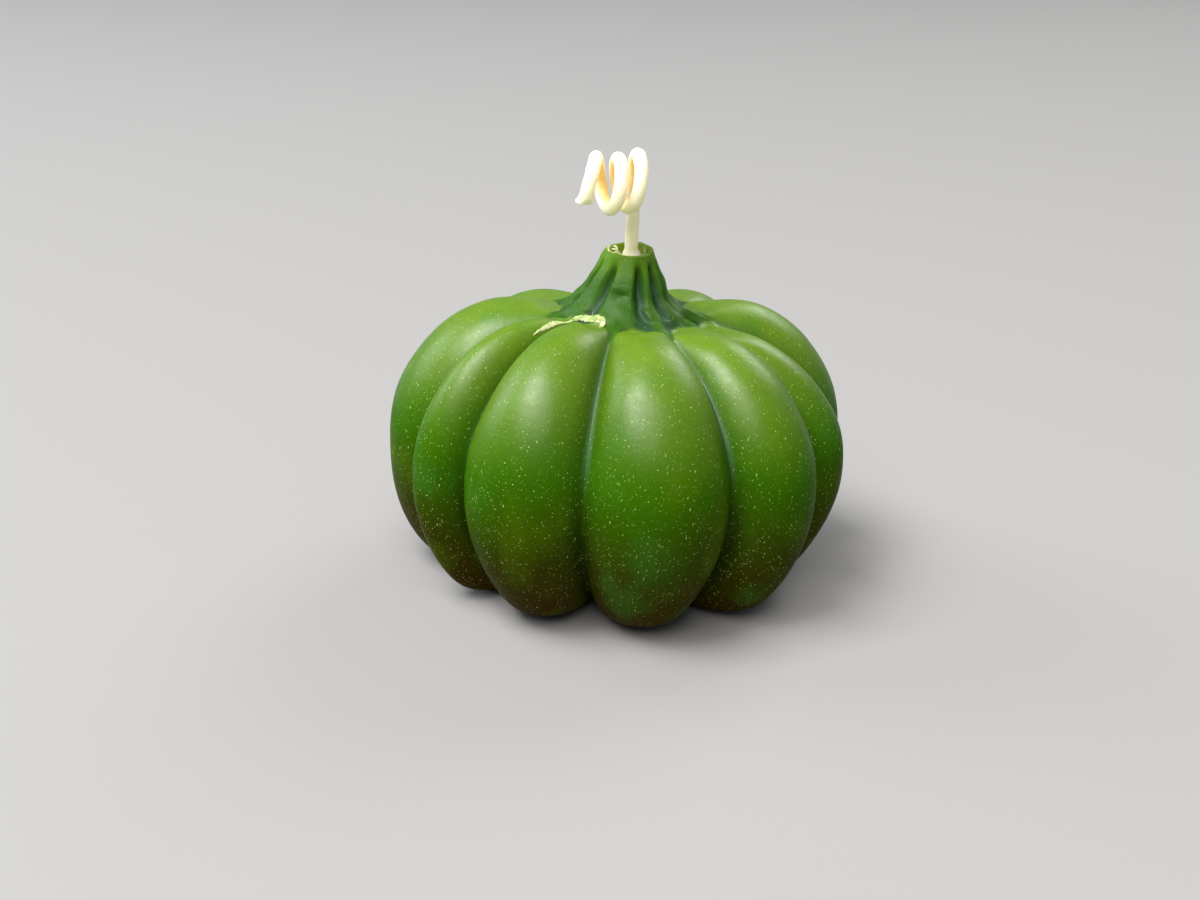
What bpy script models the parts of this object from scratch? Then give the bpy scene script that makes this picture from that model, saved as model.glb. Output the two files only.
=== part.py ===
"""A green wax candle cast in the shape of a pumpkin, with its curled wick.

Metres, +Z up. The flat pour face lies at z = 0, and the front of the candle looks along -Y.
Angles are counted in degrees from the front, positive towards +X.
"""

import math

import bmesh
import bpy

# Grooves and lobes of the casting. Each lobe starts at its left groove and runs to the next one.
# Columns: groove angle in degrees, size of the lobe's crest radius, rise of the lobe's crown, and
# how much farther out its foot stands.
LOBES = (
    (-46.0, 1.000, -0.0005, -0.0007),
    (-8.7, 0.990, -0.0012, -0.0002),
    (33.0, 1.003, -0.0020, 0.0009),
    (66.0, 0.995, -0.0040, -0.0002),
    (90.0, 1.045, -0.0014, 0.0000),
    (129.0, 0.995, -0.0027, 0.0000),
    (166.0, 0.990, -0.0018, 0.0000),
    (206.5, 0.980, -0.0029, 0.0000),
    (247.0, 1.003, -0.0008, 0.0019),
    (294.5, 0.993, -0.0014, 0.0004),
)

# Outline of the casting down the middle of a lobe, and down a groove, as (radius, height).
# Both run from the pour face up the side, over the crown and up the stem to its rim. The stem's
# hollows carry on from the lobes, and its ridges from the grooves.
CREST_OUTLINE = (
    (0.0232, 0.0000),
    (0.0314, 0.0028),
    (0.0373, 0.0115),
    (0.0400, 0.0220),
    (0.0385, 0.0334),
    (0.0325, 0.0434),
    (0.0245, 0.0488),
    (0.0165, 0.0497),
    (0.0112, 0.0484),
    (0.0077, 0.0497),
    (0.0054, 0.0527),
    (0.0043, 0.0556),
    (0.0041, 0.0582),
)
GROOVE_OUTLINE = (
    (0.0150, 0.0000),
    (0.0235, 0.0052),
    (0.0312, 0.0136),
    (0.0342, 0.0225),
    (0.0328, 0.0314),
    (0.0272, 0.0392),
    (0.0210, 0.0438),
    (0.0153, 0.0465),
    (0.0108, 0.0486),
    (0.0079, 0.0509),
    (0.0065, 0.0537),
    (0.0051, 0.0562),
    (0.0041, 0.0582),
)
# The stem takes over from the lobes between two places of the outline, counted in its points.
STEM_FROM = 7.5
STEM_FULL = 8.4
# A crown's own rise sets in between these heights, and a foot's own reach fades out between those.
CROWN_FROM = 0.0220
CROWN_FULL = 0.0480
FOOT_FULL = 0.0030
FOOT_ENDS = 0.0240
# The floor of a groove is rounded, less so on the upper half. A larger fillet is a wider floor.
FILLET_LOW = 0.46
FILLET_HIGH = 0.30
FILLET_CHANGES_OVER = (0.10, 0.55)
LOBE_ROUNDNESS = 0.55
FILLET_SQUARING = 0.40
FILLET_SHARPNESS = 4

# The stem leans a little towards +X and is open at the top, with a shallow cup round the wick.
# The wick and its hole stand upright, a little farther towards +X than the middle of the rim.
STEM_LEAN = 0.0004
LEAN_FROM = 0.0460
WICK_ASIDE = 0.0007
RIM_RADIUS, RIM_HEIGHT = CREST_OUTLINE[-1]
RIM_SLANT = 0.0003
CUP_RADIUS = 0.0031
CUP_DEPTH = 0.0014
RIM_ROUNDING = 0.0003

# The wick, and the hole that holds it all the way through the wax.
WICK_RADIUS = 0.00114
WICK_CLEARANCE = 0.0003
WICK_FOOT = 0.0006
WICK_TOP = 0.0710
COIL_TURNS = 2.62
COIL_HEADING = math.radians(17)
# The curl was wound by hand, so each quarter turn has its own length and radius.
# Columns: how far the curl has wound along its own axis, and its radius. The first row lies a
# quarter turn before its start.
ROWS_PER_TURN = 4
COIL_QUARTERS = (
    (-0.00088, 0.00410),
    (0.00000, 0.00420),
    (0.00088, 0.00430),
    (0.00175, 0.00425),
    (0.00260, 0.00410),
    (0.00336, 0.00390),
    (0.00420, 0.00370),
    (0.00490, 0.00395),
    (0.00560, 0.00430),
    (0.00615, 0.00420),
    (0.00815, 0.00390),
    (0.01015, 0.00330),
    (0.01040, 0.00400),
)
# The cut end is pinched wider over the last steps of the curl.
WICK_END_SWELL = (1.05, 1.15, 1.28)

# The casting's own axis, set so that the whole candle is centred on the origin.
AXIS_X = 0.0
AXIS_Y = -0.00015

# Fineness of the two meshes.
STEPS_PER_LOBE = 10
OUTLINE_STEPS = 32
POUR_FACE_RINGS = 2
BORE_RINGS = 3
COIL_STEPS = 42
STRAIGHT_STEPS = 8

# Finishes: base colour, roughness.
WAX_GREEN = (0.105, 0.235, 0.018, 1.0)
WAX_ROUGHNESS = 0.42
WICK_CREAM = (0.86, 0.76, 0.50, 1.0)
WICK_ROUGHNESS = 0.55


def clear_scene():
    for item in list(bpy.data.objects):
        bpy.data.objects.remove(item, do_unlink=True)


def make_material(name, colour, roughness):
    material = bpy.data.materials.new(name)
    material.use_nodes = True
    shader = material.node_tree.nodes["Principled BSDF"]
    shader.inputs["Base Color"].default_value = colour
    shader.inputs["Roughness"].default_value = roughness
    shader.inputs["Metallic"].default_value = 0.0
    return material


def along(points, place):
    """The point at place, from 0 to 1, on a smooth curve through the points."""
    spans = len(points) - 1
    index = min(int(place * spans), spans - 1)
    u = place * spans - index
    before = points[max(index - 1, 0)]
    start = points[index]
    end = points[index + 1]
    after = points[min(index + 2, spans)]
    return tuple(
        0.5
        * (
            2 * b
            + (c - a) * u
            + (2 * a - 5 * b + 4 * c - d) * u**2
            + (3 * b - a - 3 * c + d) * u**3
        )
        for a, b, c, d in zip(before, start, end, after)
    )


def lobe_edges(index):
    left = LOBES[index][0]
    right = LOBES[(index + 1) % len(LOBES)][0]
    if right < left:
        right += 360.0
    return left, right


def across_lobe(step):
    """For a step round the casting: its angle in degrees, lobe, and place from -1 to 1 across it.

    The steps crowd towards the grooves, where the surface turns fastest.
    """
    index = step // STEPS_PER_LOBE
    left, right = lobe_edges(index)
    share = (step % STEPS_PER_LOBE) / STEPS_PER_LOBE
    place = math.sin(math.pi * (share - 0.5))
    return (left + right) / 2 + place * (right - left) / 2, index, place


def smoothstep(value):
    value = min(max(value, 0.0), 1.0)
    return value * value * (3 - 2 * value)


def share_between(value, start, end):
    return smoothstep((value - start) / (end - start))


def lobe_fullness(across, place):
    """How far a lobe stands out of its grooves, from 0 to 1."""
    fillet = FILLET_LOW + (FILLET_HIGH - FILLET_LOW) * share_between(place, *FILLET_CHANGES_OVER)
    full = (1 - across * across) ** (LOBE_ROUNDNESS - FILLET_SQUARING * fillet)
    sharpness = FILLET_SHARPNESS
    raised = (full**sharpness + fillet**sharpness) ** (1 / sharpness) - fillet
    return raised / ((1 + fillet**sharpness) ** (1 / sharpness) - fillet)


def side_point(step, place):
    """The point of the lobed side, crown or stem, in cylinder coordinates (angle, radius, height)."""
    angle, index, across = across_lobe(step)
    _, swell, rise, reach = LOBES[index]
    crest_r, crest_z = along(CREST_OUTLINE, place)
    groove_r, groove_z = along(GROOVE_OUTLINE, place)
    lobe = lobe_fullness(across, place)
    flute = 0.5 + 0.5 * math.cos(math.pi * across)
    stem = share_between(place * (len(CREST_OUTLINE) - 1), STEM_FROM, STEM_FULL)
    mix = lobe + stem * (flute - lobe)
    crest_r *= 1 + (swell - 1) * (1 - stem)
    crest_r += reach * (1 - share_between(crest_z, FOOT_FULL, FOOT_ENDS))
    crest_z += rise * share_between(crest_z, CROWN_FROM, CROWN_FULL) * (1 - stem)
    radius = groove_r + mix * (crest_r - groove_r)
    height = groove_z + mix * (crest_z - groove_z)
    return angle, radius, max(height, 0.0)


def stations():
    """The casting's outline from the hole's foot out, up and back down the hole, as (kind, place)."""
    rows = [("pour", ring / POUR_FACE_RINGS) for ring in range(POUR_FACE_RINGS)]
    rows += [("side", ring / OUTLINE_STEPS) for ring in range(OUTLINE_STEPS + 1)]
    rows += [("rim", 0.5), ("cup", 0.0), ("cup", 0.5), ("cup", 1.0)]
    rows += [("hole", ring / BORE_RINGS) for ring in range(1, BORE_RINGS)]
    return rows


def casting_point(step, kind, place):
    """The finished point at a step round the casting. The hole stands upright under the leaning rim."""
    angle, radius, height = side_point(step, place if kind == "side" else 1.0)
    hole = WICK_RADIUS + WICK_CLEARANCE
    lean = min(max((height - LEAN_FROM) / (RIM_HEIGHT - LEAN_FROM), 0.0), 1.0)
    slant = lean * lean
    aside = STEM_LEAN * lean
    if kind == "pour":
        angle, radius, _ = side_point(step, 0.0)
        radius = hole + place * (radius - hole)
        height = 0.0
        aside = WICK_ASIDE * (1 - place)
        slant = 0.0
    elif kind == "rim":
        radius = (RIM_RADIUS + CUP_RADIUS) / 2
        height = RIM_HEIGHT + RIM_ROUNDING
    elif kind == "cup":
        radius = CUP_RADIUS + place * (hole - CUP_RADIUS)
        height = RIM_HEIGHT - CUP_DEPTH * smoothstep(2 * place)
        aside = STEM_LEAN + place * (WICK_ASIDE - STEM_LEAN)
    elif kind == "hole":
        radius = hole
        height = (RIM_HEIGHT - CUP_DEPTH) * (1 - place)
        aside = WICK_ASIDE
        slant = 0.0
    turn = math.radians(angle)
    x = AXIS_X + radius * math.sin(turn) + aside
    y = AXIS_Y - radius * math.cos(turn)
    return x, y, height - RIM_SLANT * slant * math.cos(turn)


def make_casting(material):
    """One turned ring mesh, each of whose points is then moved to its place on the casting."""
    rows = stations()
    steps = STEPS_PER_LOBE * len(LOBES)
    bm = bmesh.new()
    row_of = bm.verts.layers.int.new("row")
    loop = []
    for index in range(len(rows)):
        turn = 2 * math.pi * index / len(rows)
        point = bm.verts.new((2 + math.cos(turn), 0.0, math.sin(turn)))
        point[row_of] = index
        loop.append(point)
    edges = [bm.edges.new((loop[i - 1], loop[i])) for i in range(len(loop))]
    bmesh.ops.spin(
        bm,
        geom=loop + edges,
        cent=(0, 0, 0),
        axis=(0, 0, 1),
        angle=2 * math.pi,
        steps=steps,
        use_merge=True,
    )
    for point in bm.verts:
        turn = math.atan2(point.co.y, point.co.x) / (2 * math.pi)
        step = round(turn * steps) % steps
        kind, place = rows[point[row_of]]
        point.co = casting_point(step, kind, place)
    if bm.calc_volume(signed=True) < 0:
        bmesh.ops.reverse_faces(bm, faces=bm.faces)
    mesh = bpy.data.meshes.new("wax_body")
    bm.to_mesh(mesh)
    bm.free()
    mesh.shade_smooth()
    mesh.set_sharp_from_angle(angle=math.radians(50))
    mesh.materials.append(material)
    body = bpy.data.objects.new("wax_body", mesh)
    bpy.context.scene.collection.objects.link(body)
    return body


def coil_at(turns):
    """How far the curl has wound along its own axis after some turns, and its radius there."""
    row = ROWS_PER_TURN * turns + 1
    return along(COIL_QUARTERS, row / (len(COIL_QUARTERS) - 1))


def wick_route():
    """Points up the middle of the candle and round the curl, which leaves the top towards -X."""
    x = AXIS_X + WICK_ASIDE
    along_curl = (-math.cos(COIL_HEADING), -math.sin(COIL_HEADING))
    front = (math.sin(COIL_HEADING), -math.cos(COIL_HEADING))
    points = []
    for step in range(STRAIGHT_STEPS):
        points.append((x, AXIS_Y, WICK_FOOT + (WICK_TOP - WICK_FOOT) * step / STRAIGHT_STEPS))
    for step in range(COIL_STEPS + 1):
        turns = COIL_TURNS * step / COIL_STEPS
        advance, radius = coil_at(turns)
        forward = coil_at(0.0)[1] - radius * math.cos(2 * math.pi * turns)
        height = WICK_TOP + radius * math.sin(2 * math.pi * turns)
        points.append(
            (
                x + advance * along_curl[0] + forward * front[0],
                AXIS_Y + advance * along_curl[1] + forward * front[1],
                height,
            )
        )
    return points


def make_wick(material):
    points = wick_route()
    curve = bpy.data.curves.new("wick", "CURVE")
    curve.dimensions = "3D"
    curve.bevel_depth = WICK_RADIUS
    curve.bevel_resolution = 3
    curve.use_fill_caps = True
    spline = curve.splines.new("POLY")
    spline.points.add(len(points) - 1)
    spline.use_smooth = True
    for index, (x, y, z) in enumerate(points):
        spline.points[index].co = (x, y, z, 1.0)
    for index, swell in enumerate(WICK_END_SWELL):
        spline.points[index - len(WICK_END_SWELL)].radius = swell
    curve.materials.append(material)
    wick = bpy.data.objects.new("wick", curve)
    bpy.context.scene.collection.objects.link(wick)
    return wick


def main():
    clear_scene()
    make_casting(make_material("green_wax", WAX_GREEN, WAX_ROUGHNESS))
    make_wick(make_material("waxed_wick", WICK_CREAM, WICK_ROUGHNESS))


main()
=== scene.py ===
# %% [markdown]
# # A wax pumpkin candle
# The candle is one pour of green wax in the shape of a small ribbed pumpkin, with a waxed wick
# standing out of its stem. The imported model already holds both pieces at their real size. This
# lesson keeps that frame and builds the finer surface of each piece around it.

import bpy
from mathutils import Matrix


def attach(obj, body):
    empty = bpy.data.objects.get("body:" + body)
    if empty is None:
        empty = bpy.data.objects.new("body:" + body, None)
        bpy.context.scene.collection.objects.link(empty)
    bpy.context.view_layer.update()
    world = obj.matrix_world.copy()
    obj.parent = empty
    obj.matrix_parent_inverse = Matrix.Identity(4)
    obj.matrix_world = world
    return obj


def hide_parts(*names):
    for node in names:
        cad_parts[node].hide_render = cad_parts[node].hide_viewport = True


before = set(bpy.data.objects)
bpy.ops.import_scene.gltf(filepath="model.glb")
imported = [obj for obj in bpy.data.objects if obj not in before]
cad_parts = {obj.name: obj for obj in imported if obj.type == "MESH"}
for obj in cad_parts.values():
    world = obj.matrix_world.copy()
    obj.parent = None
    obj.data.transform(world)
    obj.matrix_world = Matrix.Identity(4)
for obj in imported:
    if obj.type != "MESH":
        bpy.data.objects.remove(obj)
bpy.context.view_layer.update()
print("pieces in the frame:", sorted(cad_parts))

# %% Other modules
import math
import random

import bmesh
import bpy
from mathutils import Matrix, Vector, noise
from mathutils.bvhtree import BVHTree

# %% [markdown]
# ## The camera
# The view looks down on the candle by about 21 degrees, and the picture is turned by a little under
# three. Both come from the way round shapes flatten in the photograph. The focal length is counted
# in pixels of the picture, and chosen so that near lobes look as large beside far ones as they do
# there.

# %% Place the camera
PICTURE_WIDTH = 1200
PICTURE_HEIGHT = 900
FOCAL_PIXELS = 1600
PIXELS_PER_METRE = 5470
ORIGIN_PIXEL = (610.9, 561.4)
CAMERA_PITCH = math.radians(21.3)
CAMERA_ROLL = math.radians(2.7)
SENSOR_WIDTH = 36.0


def place_camera():
    pitch, roll = CAMERA_PITCH, CAMERA_ROLL
    ahead = Vector((0, math.cos(pitch), -math.sin(pitch)))
    level_up = Vector((0, math.sin(pitch), math.cos(pitch)))
    right = math.cos(roll) * Vector((1, 0, 0)) + math.sin(roll) * level_up
    up = -math.sin(roll) * Vector((1, 0, 0)) + math.cos(roll) * level_up
    reach = FOCAL_PIXELS / PIXELS_PER_METRE
    across = (ORIGIN_PIXEL[0] - PICTURE_WIDTH / 2) / PIXELS_PER_METRE
    above = (PICTURE_HEIGHT / 2 - ORIGIN_PIXEL[1]) / PIXELS_PER_METRE
    data = bpy.data.cameras.new("camera")
    data.sensor_width = SENSOR_WIDTH
    data.lens = SENSOR_WIDTH * FOCAL_PIXELS / PICTURE_WIDTH
    camera = bpy.data.objects.new("camera", data)
    bpy.context.scene.collection.objects.link(camera)
    turned = Matrix((right, up, -ahead)).transposed().to_4x4()
    place = -(ahead * reach + right * across + up * above)
    camera.matrix_world = Matrix.Translation(place) @ turned
    bpy.context.scene.camera = camera
    return camera


camera = place_camera()
print("camera at", [round(value, 3) for value in camera.location], "lens", camera.data.lens)

# %% [markdown]
# ## Floor and light
# Wax is soft to look at because light enters it and because its gloss is blurred. Both show best
# under a large overhead light. One soft box hangs above and to the left. Weaker ones fill from the
# left, the front and behind, and the pale surroundings do the rest.

# %% Floor, lights and surroundings
FLOOR_SIDE = 6.0
FLOOR_COLOUR = (0.285, 0.28, 0.28, 1.0)
SKY_COLOUR = (0.86, 0.90, 0.95, 1.0)
SKY_STRENGTH = 0.27


def make_floor():
    bm = bmesh.new()
    bmesh.ops.create_grid(bm, x_segments=1, y_segments=1, size=FLOOR_SIDE / 2)
    mesh = bpy.data.meshes.new("floor")
    bm.to_mesh(mesh)
    bm.free()
    material = bpy.data.materials.new("floor_paint")
    material.use_nodes = True
    shader = material.node_tree.nodes["Principled BSDF"]
    shader.inputs["Base Color"].default_value = FLOOR_COLOUR
    shader.inputs["Roughness"].default_value = 0.85
    mesh.materials.append(material)
    floor = bpy.data.objects.new("floor", mesh)
    bpy.context.scene.collection.objects.link(floor)
    return floor


def soft_box(name, place, aim, size, watts, colour):
    data = bpy.data.lights.new(name, "AREA")
    data.shape = "RECTANGLE"
    data.size, data.size_y = size
    data.energy = watts
    data.color = colour
    lamp = bpy.data.objects.new(name, data)
    bpy.context.scene.collection.objects.link(lamp)
    away = Vector(place) - Vector(aim)
    lamp.matrix_world = Matrix.Translation(place) @ away.to_track_quat("Z", "Y").to_matrix().to_4x4()
    return lamp


def light_surroundings():
    world = bpy.data.worlds.new("surroundings")
    world.use_nodes = True
    background = world.node_tree.nodes["Background"]
    background.inputs["Color"].default_value = SKY_COLOUR
    background.inputs["Strength"].default_value = SKY_STRENGTH
    bpy.context.scene.world = world


floor = make_floor()
CANDLE_MIDDLE = (0, 0, 0.03)
soft_box("overhead", (-0.80, -0.50, 1.65), CANDLE_MIDDLE, (1.0, 0.9), 46.0, (1.0, 0.99, 0.965))
soft_box("left_window", (-1.70, 0.60, 0.95), CANDLE_MIDDLE, (1.2, 1.0), 18.0, (0.82, 0.91, 1.0))
soft_box("front_fill", (-0.30, -1.10, 1.45), CANDLE_MIDDLE, (1.4, 1.2), 30.0, (1.0, 0.97, 0.91))
soft_box("back_fill", (0.90, 1.30, 1.20), CANDLE_MIDDLE, (1.0, 0.9), 15.0, (1.0, 0.99, 0.96))
light_surroundings()
bpy.context.scene.view_settings.view_transform = "Standard"

# %% [markdown]
# ## The outline of the casting
# A ribbed pumpkin needs two outlines: one down the middle of a lobe and one down a groove. The
# surface between them is a mix of the two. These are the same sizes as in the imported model, so the
# finer surface lies close to it everywhere.

# %% Lobes and outlines
LOBES = (
    # groove angle, size of the crest, rise of the crown, extra reach of the foot
    (-46.0, 1.000, -0.0005, -0.0007),
    (-8.7, 0.990, -0.0012, -0.0002),
    (33.0, 1.003, -0.0020, 0.0009),
    (66.0, 0.995, -0.0040, -0.0002),
    (90.0, 1.045, -0.0014, 0.0000),
    (129.0, 0.995, -0.0027, 0.0000),
    (166.0, 0.990, -0.0018, 0.0000),
    (206.5, 0.980, -0.0029, 0.0000),
    (247.0, 1.003, -0.0008, 0.0019),
    (294.5, 0.993, -0.0014, 0.0004),
)
CREST_OUTLINE = (
    (0.0232, 0.0000),
    (0.0314, 0.0028),
    (0.0373, 0.0115),
    (0.0400, 0.0220),
    (0.0385, 0.0334),
    (0.0325, 0.0434),
    (0.0245, 0.0488),
    (0.0165, 0.0497),
    (0.0112, 0.0484),
    (0.0077, 0.0497),
    (0.0054, 0.0527),
    (0.0043, 0.0556),
    (0.0041, 0.0582),
)
GROOVE_OUTLINE = (
    (0.0150, 0.0000),
    (0.0235, 0.0052),
    (0.0312, 0.0136),
    (0.0342, 0.0225),
    (0.0328, 0.0314),
    (0.0272, 0.0392),
    (0.0210, 0.0438),
    (0.0153, 0.0465),
    (0.0108, 0.0486),
    (0.0079, 0.0509),
    (0.0065, 0.0537),
    (0.0051, 0.0562),
    (0.0041, 0.0582),
)
STEM_FROM = 7.5
STEM_FULL = 8.4
CROWN_FROM = 0.0220
CROWN_FULL = 0.0480
FOOT_FULL = 0.0030
FOOT_ENDS = 0.0240
AXIS = Vector((0.0, -0.00015, 0.0))


def along(points, place):
    """The point at place, from 0 to 1, on a smooth curve through the points."""
    spans = len(points) - 1
    index = min(int(place * spans), spans - 1)
    u = place * spans - index
    before = points[max(index - 1, 0)]
    start = points[index]
    end = points[index + 1]
    after = points[min(index + 2, spans)]
    return tuple(
        0.5
        * (
            2 * b
            + (c - a) * u
            + (2 * a - 5 * b + 4 * c - d) * u**2
            + (3 * b - a - 3 * c + d) * u**3
        )
        for a, b, c, d in zip(before, start, end, after)
    )


def smoothstep(value):
    value = min(max(value, 0.0), 1.0)
    return value * value * (3 - 2 * value)


def share_between(value, start, end):
    return smoothstep((value - start) / (end - start))


print("lobes:", len(LOBES), " widest radius:", max(r for r, z in CREST_OUTLINE))

# %% [markdown]
# ## Full lobes with rounded grooves
# A lobe is nearly an ellipse across, so it starts out of its groove steeply. The floor of the groove
# is not a sharp line, though. It is a little round valley, a bit wider at the foot, and wider all
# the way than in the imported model. A fourth-power blend rounds the floor and leaves the rest of the
# lobe as it was.

# %% Shape across a lobe
FILLET_LOW = 0.50
FILLET_HIGH = 0.44
FILLET_CHANGES_OVER = (0.10, 0.55)
FILLET_SHARPNESS = 4
LOBE_ROUNDNESS = 0.55
FILLET_SQUARING = 0.26


def mixed(low, high, share):
    return low + (high - low) * share


def lobe_fullness(across, place):
    """How far out a lobe stands: 0 in the groove at across -1 and 1, and 1 on the crest at 0."""
    fillet = mixed(FILLET_LOW, FILLET_HIGH, share_between(place, *FILLET_CHANGES_OVER))
    full = (1 - across * across) ** (LOBE_ROUNDNESS - FILLET_SQUARING * fillet)
    raised = (full**FILLET_SHARPNESS + fillet**FILLET_SHARPNESS) ** (1 / FILLET_SHARPNESS)
    highest = (1 + fillet**FILLET_SHARPNESS) ** (1 / FILLET_SHARPNESS)
    return (raised - fillet) / (highest - fillet)


print("across a lobe:", [round(lobe_fullness(step / 5, 0.3), 2) for step in range(6)])

# %% [markdown]
# ## The stem's hollows
# The stem is a cone with hollows pressed into it. Between two hollows a ridge is left, broad where
# they stand far apart and narrow where they stand close. Each hollow has its own angle at the rim
# and at the foot, its own reach to either side and its own depth. A crease runs round the stem's
# foot, where its darker colour starts. Places up the outlines are counted in their points.

# %% Hollows of the stem
HOLLOWS = (
    # angle at the rim, angle at the foot, reach to the left and to the right in degrees, depth
    (-66.0, -74.0, 6.0, 7.0, 0.60),
    (-28.0, -36.0, 13.0, 11.0, 0.85),
    (22.0, 17.5, 12.0, 13.0, 1.05),
    (54.5, 47.0, 14.0, 12.0, 1.00),
    (77.0, 63.0, 7.0, 8.0, 0.50),
    (101.0, 99.0, 10.0, 12.0, 0.90),
    (128.0, 126.0, 8.0, 9.0, 1.05),
    (160.0, 157.0, 10.0, 8.0, 0.95),
    (194.0, 197.0, 9.0, 10.0, 1.10),
    (233.0, 232.0, 12.0, 9.0, 1.00),
    (264.0, 262.0, 7.0, 8.0, 0.75),
)
HOLLOWS_FROM = 8.0
HOLLOWS_END = 0.90
HOLLOW_SQUARING = 0.75
CREASE_AT = 7.95
CREASE_WIDTH = 0.20
CREASE_DEPTH = 0.00055
TINT_ON_CREST = 8.06
TINT_IN_GROOVE = 6.9
TINT_BLEND = 0.18
TINT_BY_RISE = 70.0


def edge_angle(index):
    """The groove angle that starts a lobe, counted on past one turn after the last lobe."""
    turns, row = divmod(index, len(LOBES))
    return LOBES[row][0] + 360.0 * turns


def turned_from(angle, other):
    """The signed turn in degrees from other to angle, from -180 to 180."""
    return (angle - other + 180.0) % 360.0 - 180.0


def hollow_depth(angle, up_stem):
    """How deep the stem is pressed in at an angle, as a share of the way from ridge to hollow."""
    deepest = 0.0
    for rim_angle, foot_angle, left, right, depth in HOLLOWS:
        turned = turned_from(angle, mixed(foot_angle, rim_angle, up_stem))
        reach = right if turned > 0 else left
        if abs(turned) < reach:
            pressed = (0.5 + 0.5 * math.cos(math.pi * turned / reach)) ** HOLLOW_SQUARING
            deepest = max(deepest, depth * pressed)
    return deepest


def side_point(lobe_index, share, place):
    """A point of side, crown or stem: angle in degrees, radius, height, and how much it is groove,
    stem and stem colour."""
    _, swell, rise, reach = LOBES[lobe_index]
    spans = len(CREST_OUTLINE) - 1
    stem = share_between(place * spans, STEM_FROM, STEM_FULL)
    up_stem = share_between(place * spans, HOLLOWS_FROM, spans)
    across = mixed(math.sin(math.pi * (share - 0.5)), 2 * share - 1, stem)
    left, right = edge_angle(lobe_index), edge_angle(lobe_index + 1)
    angle = mixed(left, right, (across + 1) / 2)
    crest_r, crest_z = along(CREST_OUTLINE, place)
    groove_r, groove_z = along(GROOVE_OUTLINE, place)
    fullness = lobe_fullness(across, place)
    hollow = hollow_depth(angle, up_stem) * (1 - share_between(place, HOLLOWS_END, 1.0))
    mix = mixed(fullness, hollow, stem)
    crest_r *= 1 + (swell - 1) * (1 - stem)
    crest_r += reach * (1 - share_between(crest_z, FOOT_FULL, FOOT_ENDS))
    crest_z += rise * share_between(crest_z, CROWN_FROM, CROWN_FULL) * (1 - stem)
    radius = groove_r + mix * (crest_r - groove_r)
    height = groove_z + mix * (crest_z - groove_z)
    height -= CREASE_DEPTH * fullness * math.exp(-(((place * spans - CREASE_AT) / CREASE_WIDTH) ** 2))
    tint_from = mixed(TINT_IN_GROOVE, TINT_ON_CREST + TINT_BY_RISE * rise, fullness)
    tint = share_between(place * spans, tint_from, tint_from + TINT_BLEND)
    return angle, radius, max(height, 0.0), 1 - mix, stem, tint


# %% [markdown]
# ## Turning the casting
# The wick hole goes right through the wax, so the casting is a ring in the mathematical sense, like
# a doughnut. That makes it easy to start: a closed loop is spun once round the axis, and each of
# its points is then moved to its place. Each point remembers its row of the outline in a layer.

# %% Rows of the outline
STEM_LEAN = 0.0004
LEAN_FROM = 0.0460
WICK_ASIDE = 0.0007
RIM_HEIGHT = CREST_OUTLINE[-1][1]
RIM_SLANT = 0.0003
CUP_RADIUS = 0.0031
CUP_DEPTH = 0.0014
CUP_NARROWING = 1.6
CUP_DROP = 1.3
RIM_ROUNDING = 0.0003
WICK_RADIUS = 0.00114
HOLE_RADIUS = WICK_RADIUS + 0.0003
FOLD_ANGLES = (62.0, 158.0)
FOLD_RISE = 0.00028
FOLD_EDGE = 7.0
FOLD_FROM = 0.0572
FOLD_THICKENING = 0.5
RIM_UNEVENNESS = 0.00008
WEAR_CHANGES = 1.7
STEPS_PER_LOBE = 32
BODY_ROWS = 96
STEM_ROWS = 84
POUR_ROWS = 8
RIM_ROWS = 5
CUP_ROWS = 10
HOLE_ROWS = 6


def outline_rows():
    stem_place = STEM_FROM / (len(CREST_OUTLINE) - 1)
    rows = [("pour", row / POUR_ROWS) for row in range(POUR_ROWS)]
    rows += [("side", stem_place * row / BODY_ROWS) for row in range(BODY_ROWS)]
    rows += [("side", mixed(stem_place, 1.0, row / STEM_ROWS)) for row in range(STEM_ROWS + 1)]
    rows += [("rim", (row + 1) / (RIM_ROWS + 1)) for row in range(RIM_ROWS)]
    rows += [("cup", row / CUP_ROWS) for row in range(CUP_ROWS + 1)]
    rows += [("hole", row / HOLE_ROWS) for row in range(1, HOLE_ROWS)]
    return rows


def rim_rise(angle):
    """How far the rim stands above its usual height: a raised fold at the back right, and wear."""
    start, end = FOLD_ANGLES
    middle, half = (start + end) / 2, (end - start) / 2
    fold = smoothstep((half - abs(turned_from(angle, middle))) / FOLD_EDGE)
    turn = math.radians(angle)
    wear = noise.noise(Vector((WEAR_CHANGES * math.cos(turn), WEAR_CHANGES * math.sin(turn), 4.0)))
    return FOLD_RISE * fold, RIM_UNEVENNESS * wear


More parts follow.
